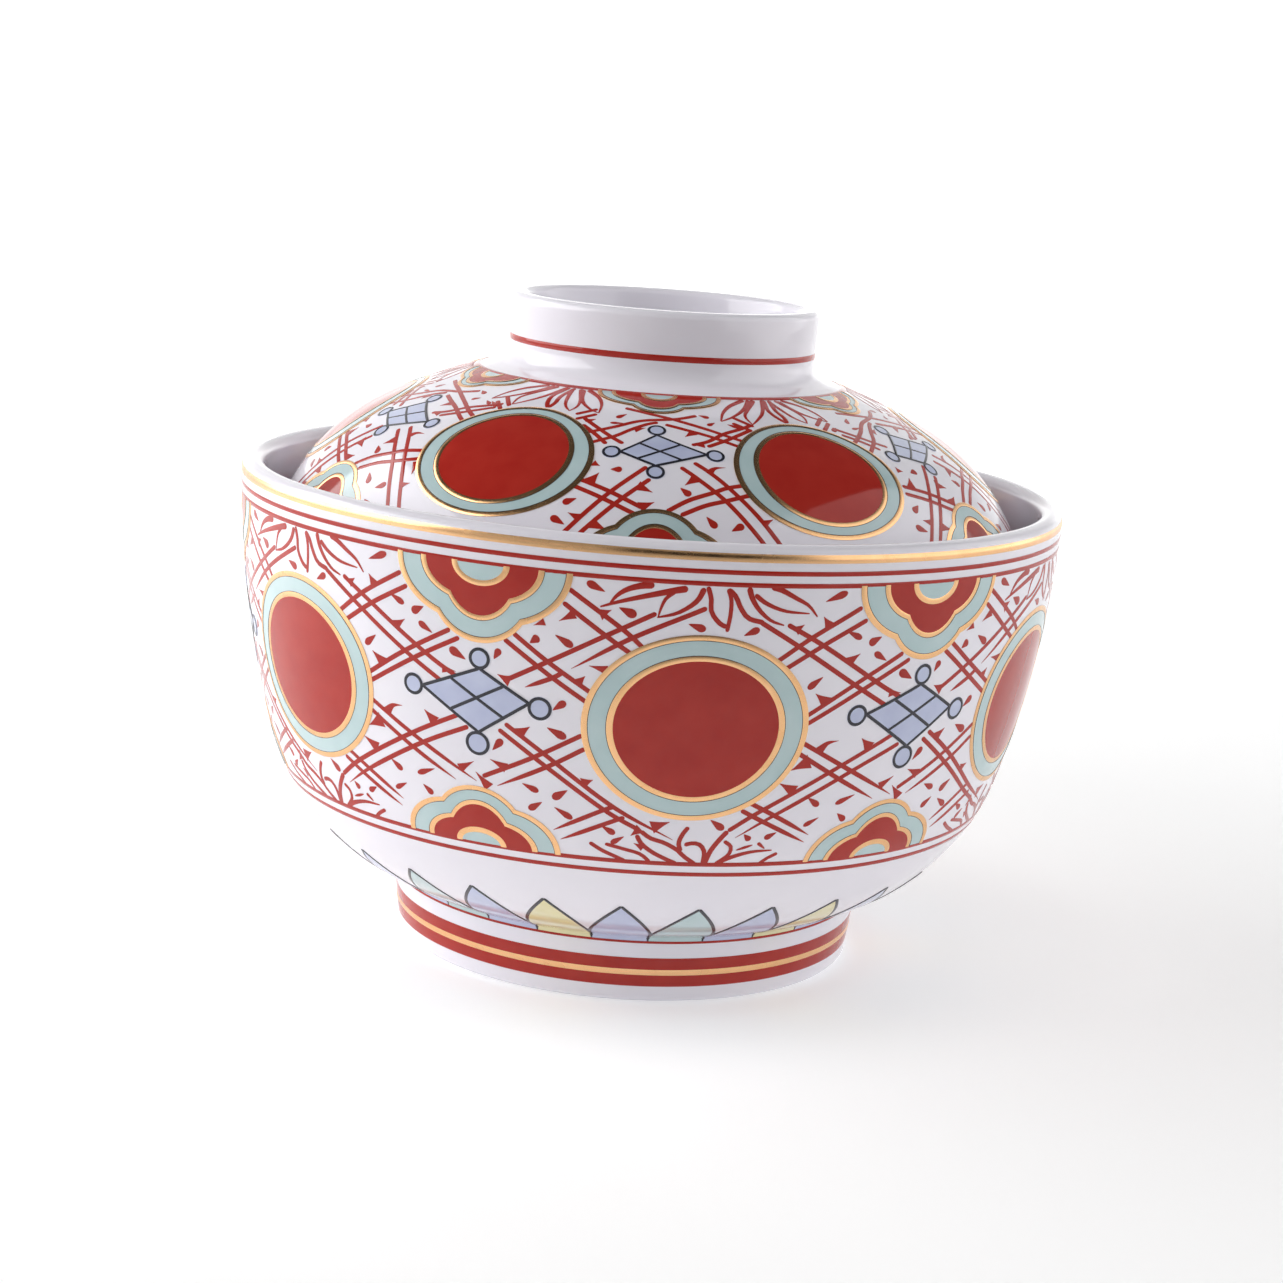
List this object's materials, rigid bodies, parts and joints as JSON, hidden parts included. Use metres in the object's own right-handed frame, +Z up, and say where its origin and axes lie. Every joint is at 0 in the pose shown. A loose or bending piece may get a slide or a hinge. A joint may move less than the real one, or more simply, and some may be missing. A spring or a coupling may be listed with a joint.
{
  "type": "lidded soup bowl",
  "caption": "Round porcelain soup bowl on a foot ring, with a domed lid that drops inside the mouth and a ring knob that is also the lid's foot.",
  "frame": {"origin": "centre of the foot ring's standing face, on the table", "axes": "+Z up along the axis of the bowl and its lid; the front of the picture faces -Y"},
  "size_m": [0.1149, 0.1148, 0.0916],
  "materials": {
    "porcelain_glaze": "clear gloss glaze on white porcelain",
    "red_enamel": "gloss overglaze enamel",
    "aqua_enamel": "gloss overglaze enamel",
    "blue_enamel": "gloss overglaze enamel",
    "yellow_enamel": "gloss overglaze enamel",
    "black_line": "gloss overglaze line",
    "fired_gold": "bright fired gold line"
  },
  "bodies": {
    "bowl": {"bowl": "porcelain_glaze"},
    "lid": {"lid": "porcelain_glaze"}
  },
  "joints": [
    {"name": "lid_lift", "type": "slide", "parent": "bowl", "child": "lid", "axis": [0, 0, 1], "range_m": [0, 0.08]}
  ]
}
